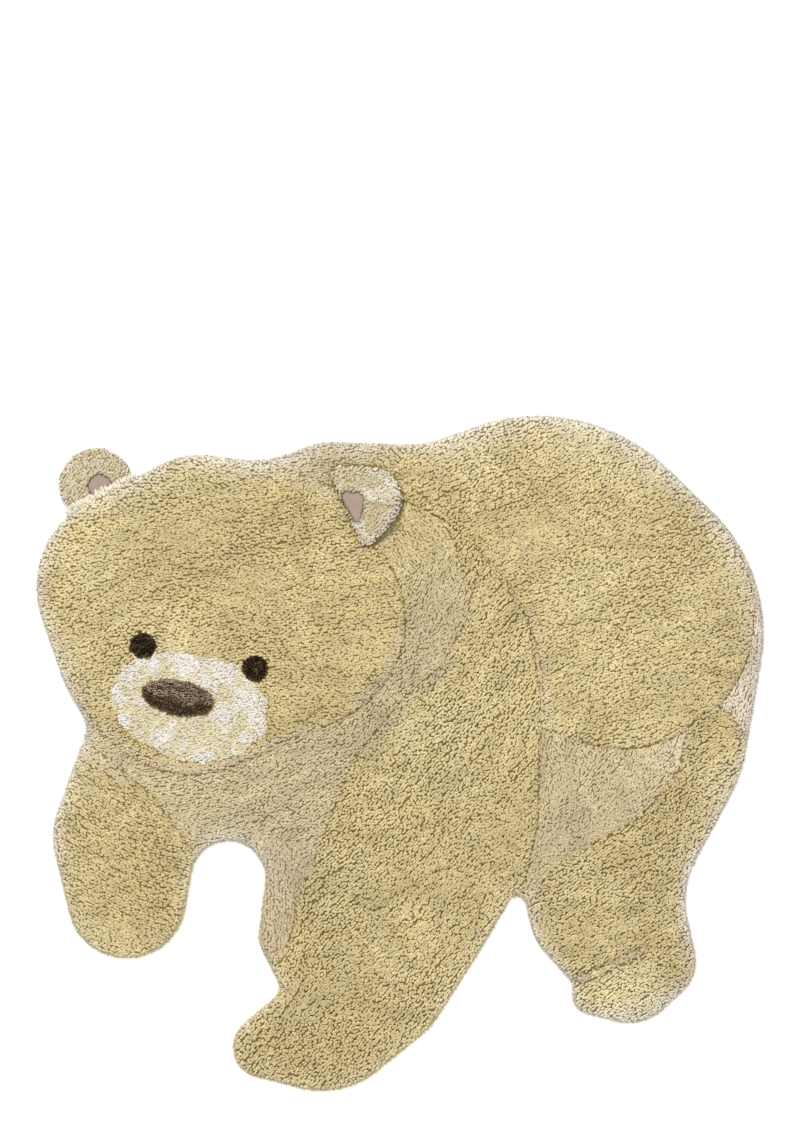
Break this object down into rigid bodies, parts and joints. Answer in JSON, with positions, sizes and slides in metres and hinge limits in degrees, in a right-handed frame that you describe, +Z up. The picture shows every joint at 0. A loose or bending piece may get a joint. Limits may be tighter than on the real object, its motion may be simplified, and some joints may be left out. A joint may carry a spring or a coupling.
{
  "type": "washable rug",
  "caption": "Flat washable rug of tufted cotton, cut to the outline of a walking bear, with sewn-on ears, a pale muzzle, round eyes and an oval nose.",
  "frame": {"origin": "on the floor, under the middle of the rug's box", "axes": "+X along the longest side, from the bear's head to its rump; +Y across the rug, from its feet to its back; +Z up, through the pile"},
  "size_m": [1.4, 1.3, 0.022],
  "materials": {
    "ochre_pile": "dyed cotton cut pile, matt",
    "ear_pile": "undyed cotton cut pile, matt",
    "ear_lining": "smooth woven cotton, mauve-taupe",
    "brown_pile": "brown cotton cut pile, clipped short",
    "dark_pile": "dark brown cotton cut pile, clipped short"
  },
  "bodies": {
    "root": {"rug_body": "ochre_pile", "far_ear": "ear_pile", "far_ear_lining": "ear_lining", "near_ear": "ear_pile", "near_ear_lining": "ear_lining", "nose_bridge": "brown_pile", "nose_underside": "dark_pile", "left_eye": "dark_pile", "right_eye": "dark_pile"}
  },
  "joints": []
}
